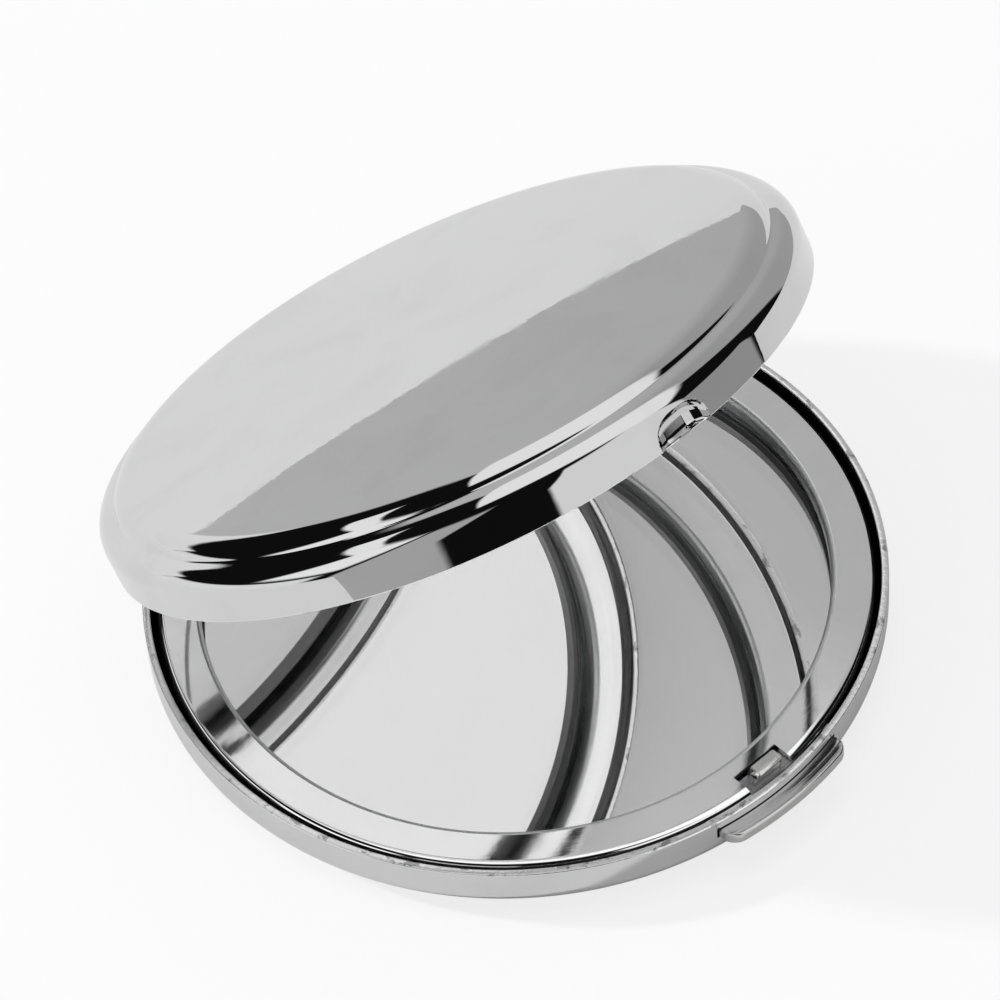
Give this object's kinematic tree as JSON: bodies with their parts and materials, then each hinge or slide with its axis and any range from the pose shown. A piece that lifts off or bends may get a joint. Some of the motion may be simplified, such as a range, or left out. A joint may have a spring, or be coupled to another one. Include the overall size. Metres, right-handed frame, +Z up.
{
  "type": "compact mirror",
  "caption": "Round clamshell compact with a framed mirror in each half, a barrel hinge and a spring-loaded thumb tab whose hook holds the lid shut.",
  "frame": {"origin": "centre of the flat underside of the base, which the case rests on", "axes": "+Z up, out of the base; -Y towards the front with the thumb tab; the hinge is at +Y, along X"},
  "size_m": [0.066, 0.0707, 0.0451],
  "materials": {
    "case_chrome": "bright polished chrome plating",
    "frame_chrome": "bright polished chrome plating",
    "hinge_chrome": "polished chrome plating",
    "tab_nickel": "polished nickel plating, slightly soft reflections",
    "hook_steel": "rough cut, plated",
    "plain_steel": "plain plated steel",
    "spring_steel": "tempered spring strip",
    "mirror_glass": "silvered mirror glass",
    "card": "matt grey card",
    "foam": "dark soft foam"
  },
  "bodies": {
    "base": {"base_shell": "case_chrome", "base_frame": "frame_chrome", "base_mirror": "mirror_glass", "base_backing_card": "card", "base_foam_pad": "foam", "base_hinge_leaf": "hinge_chrome", "base_hinge_rivets": "plain_steel", "hinge_pin": "plain_steel", "latch_guide": "plain_steel", "latch_spring": "spring_steel"},
    "lid": {"lid_shell": "case_chrome", "lid_frame": "frame_chrome", "lid_mirror": "mirror_glass", "lid_backing_card": "card", "lid_foam_pad": "foam", "lid_hinge_leaf": "hinge_chrome", "lid_hinge_rivets": "plain_steel", "lid_catch": "plain_steel"},
    "button": {"push_tab": "tab_nickel", "catch_hook": "hook_steel"}
  },
  "joints": [
    {"name": "lid_hinge", "type": "hinge", "parent": "base", "child": "lid", "pos_m": [0, 0.0345, 0.0059], "axis": [-1, 0, 0], "range_deg": [-32.2, 147.8]},
    {"name": "button_press", "type": "slide", "parent": "base", "child": "button", "axis": [0, 1, 0], "range_m": [0, 0.0007], "stiffness_N_per_m": 2000, "springref_m": -0.0007, "deforming": ["latch_spring"]}
  ]
}
